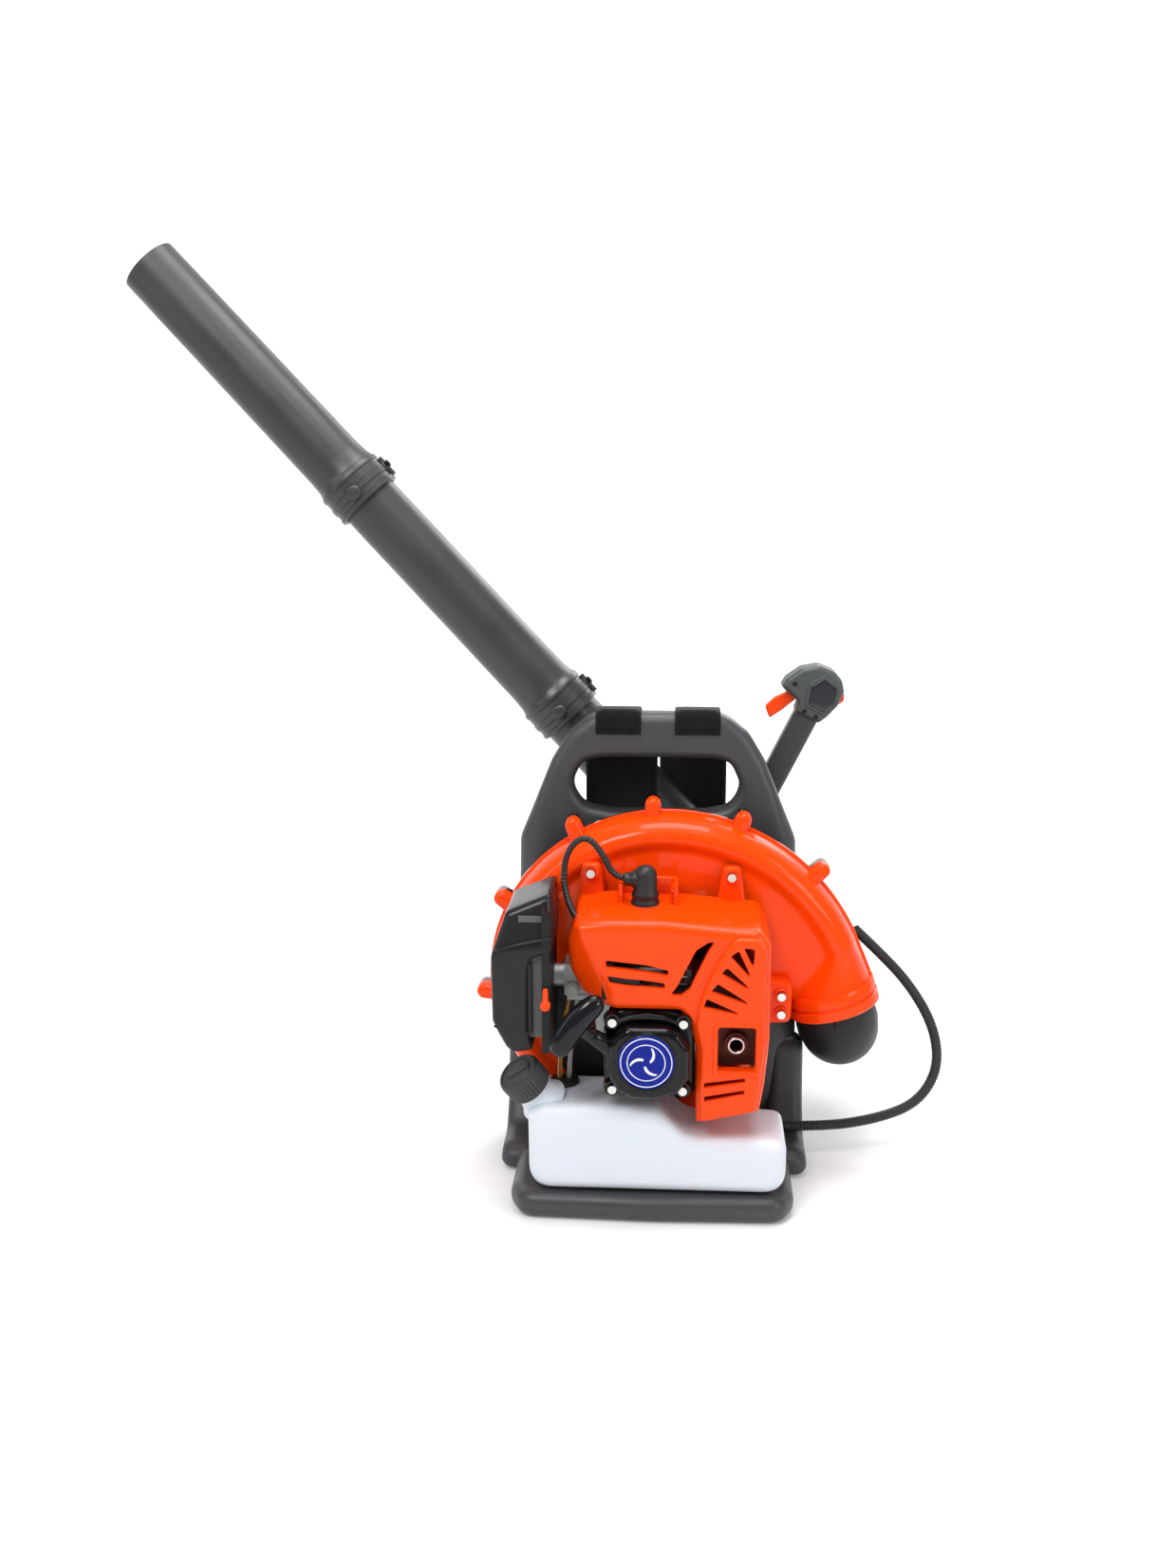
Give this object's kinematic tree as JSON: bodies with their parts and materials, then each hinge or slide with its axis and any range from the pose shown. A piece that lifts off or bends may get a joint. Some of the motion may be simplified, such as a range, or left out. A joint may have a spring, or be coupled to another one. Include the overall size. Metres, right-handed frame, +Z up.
{
  "type": "backpack leaf blower",
  "caption": "Backpack petrol leaf blower with a scroll fan housing, recoil starter, side fuel cap, back frame with straps, bellows elbow and long raised blow tube.",
  "frame": {"origin": "middle of the base frame's resting plane, between its two sides, 0.15 m behind its front edge", "axes": "+X to the outlet side as seen from the engine, -Y out of the engine side, +Y towards the wearer's back, +Z up"},
  "size_m": [0.9248, 0.3761, 1.0113],
  "materials": {
    "frame_plastic": "matt textured",
    "foam": "mesh fabric over foam",
    "strap_fabric": "woven",
    "black_plastic": "satin",
    "rubber": "matt",
    "orange_plastic": "gloss",
    "fan_plastic": "satin",
    "steel": "zinc plated",
    "cast_alloy": "as cast",
    "plug_ceramic": "glazed",
    "black_metal": "heat-proof paint",
    "clear_rubber": "translucent",
    "dark_gloss": "satin gloss",
    "black_gloss": "gloss",
    "blue_disc": "gloss",
    "cord": "braided",
    "tank_plastic": "translucent satin",
    "fuel_hose": "clear amber",
    "tube_plastic": "satin",
    "cable_black": "corrugated satin"
  },
  "bodies": {
    "blower": {"air_filter_base": "black_plastic", "air_filter_cover": "dark_gloss", "air_filter_element": "foam", "back_frame": "frame_plastic", "back_pad": "foam", "base_frame": "frame_plastic", "bellows": "rubber", "carburetor": "cast_alloy", "connecting_rod": "steel", "crankcase_front": "cast_alloy", "crankcase_rear": "cast_alloy", "crankshaft": "steel", "cylinder": "cast_alloy", "elbow": "tube_plastic", "engine_cover": "orange_plastic", "fan_housing_front": "orange_plastic", "fan_housing_rear": "black_plastic", "flywheel_shroud": "black_gloss", "fuel_lines": "fuel_hose", "fuel_tank": "tank_plastic", "ignition_coil": "black_plastic", "ignition_lead": "rubber", "machine_screws": "steel", "muffler": "black_metal", "piston": "cast_alloy", "recoil_spring": "steel", "shoulder_strap_left": "strap_fabric", "shoulder_strap_right": "strap_fabric", "spark_plug": "plug_ceramic", "spark_plug_cap": "rubber", "starter_disc": "blue_disc", "starter_housing": "black_gloss", "starter_rope": "cord", "strap_buckles": "black_plastic", "tank_grommet": "rubber", "throttle_cable_hose": "cable_black", "throttle_cable_loop": "cable_black", "vibration_mounts": "rubber"},
    "fan": {"impeller": "fan_plastic", "flywheel": "cast_alloy", "shaft_nuts": "steel"},
    "reel": {"starter_reel": "black_plastic"},
    "pull_handle": {"starter_handle": "black_gloss"},
    "cap": {"cap_gasket": "rubber", "fuel_cap": "black_plastic"},
    "choke": {"choke_lever": "orange_plastic"},
    "primer": {"primer_bulb": "clear_rubber"},
    "throttle": {"throttle_arm": "steel"},
    "filter_screw": {"filter_knob": "black_plastic"},
    "hose_end": {"bellows_cuff": "tube_plastic"},
    "tube": {"swivel_tube": "tube_plastic", "handle_clamp": "tube_plastic", "handle_arm": "tube_plastic", "control_head": "tube_plastic", "control_panel": "black_gloss", "throttle_cable_arm": "cable_black"},
    "trigger": {"throttle_trigger": "orange_plastic"},
    "switch": {"stop_switch": "orange_plastic"},
    "mid": {"mid_tube": "tube_plastic"},
    "nozzle": {"nozzle_tube": "tube_plastic"}
  },
  "joints": [
    {"name": "fan_spin", "type": "hinge", "parent": "blower", "child": "fan", "pos_m": [-0.005, -0.06, 0.183], "axis": [0, 1, 0], "continuous": true},
    {"name": "starter_pull", "type": "slide", "parent": "blower", "child": "pull_handle", "axis": [-0.7008, -0.3604, 0.6157], "range_m": [0, 0.6], "stiffness_N_per_m": 12, "springref_m": -0.1, "deforming": ["starter_rope"]},
    {"name": "reel_spin", "type": "hinge", "parent": "blower", "child": "reel", "pos_m": [-0.005, -0.148, 0.183], "axis": [0, 1, 0], "range_deg": [-5, 1700]},
    {"name": "cap_turn", "type": "hinge", "parent": "blower", "child": "cap", "pos_m": [-0.134, -0.12, 0.146], "axis": [-0.5198, -0.3599, 0.7748], "range_deg": [0, 540]},
    {"name": "choke_turn", "type": "hinge", "parent": "blower", "child": "choke", "pos_m": [-0.108, -0.15, 0.238], "axis": [0, 1, 0], "range_deg": [0, 75]},
    {"name": "primer_push", "type": "slide", "parent": "blower", "child": "primer", "axis": [0, 1, 0], "range_m": [0, 0.0035], "stiffness_N_per_m": 400, "springref_m": -0.001},
    {"name": "trigger_pull", "type": "hinge", "parent": "tube", "child": "trigger", "pos_m": [0.16023, 0.15, 0.52065], "axis": [0, -1, 0], "range_deg": [0, 15], "stiffness_Nm_per_rad": 0.6, "springref_deg": -5.73},
    {"name": "throttle_open", "type": "hinge", "parent": "blower", "child": "throttle", "pos_m": [-0.077, -0.104, 0.258], "axis": [0, 1, 0], "range_deg": [0, 75]},
    {"name": "switch_slide", "type": "slide", "parent": "tube", "child": "switch", "axis": [0, 1, 0], "range_m": [0, 0.004]},
    {"name": "filter_knob_turn", "type": "hinge", "parent": "blower", "child": "filter_screw", "pos_m": [-0.16, -0.102, 0.252], "axis": [1, 0, 0], "range_deg": [-1080, 0]},
    {"name": "hose_bend", "type": "hinge", "parent": "blower", "child": "hose_end", "pos_m": [0.2065, 0.15, 0.15104], "axis": [-0.7314, 0, -0.682], "range_deg": [0, 90], "deforming": ["bellows", "throttle_cable_hose", "shoulder_strap_right"]},
    {"name": "tube_swivel", "type": "hinge", "parent": "hose_end", "child": "tube", "pos_m": [0.15535, 0.15, 0.20589], "axis": [-0.682, 0, 0.7314], "range_deg": [-8, 90], "deforming": ["throttle_cable_arm"]},
    {"name": "mid_twist", "type": "hinge", "parent": "tube", "child": "mid", "pos_m": [-0.10313, 0.15, 0.48307], "axis": [-0.682, 0, 0.7314], "range_deg": [0, 30]},
    {"name": "nozzle_twist", "type": "hinge", "parent": "mid", "child": "nozzle", "pos_m": [-0.33228, 0.15, 0.72881], "axis": [-0.682, 0, 0.7314], "range_deg": [0, 30]}
  ],
  "couplings": [
    {"joint": "reel_spin", "follows": "starter_pull", "rad_per_m": 48.781},
    {"joint": "throttle_open", "follows": "trigger_pull", "ratio": 5}
  ]
}
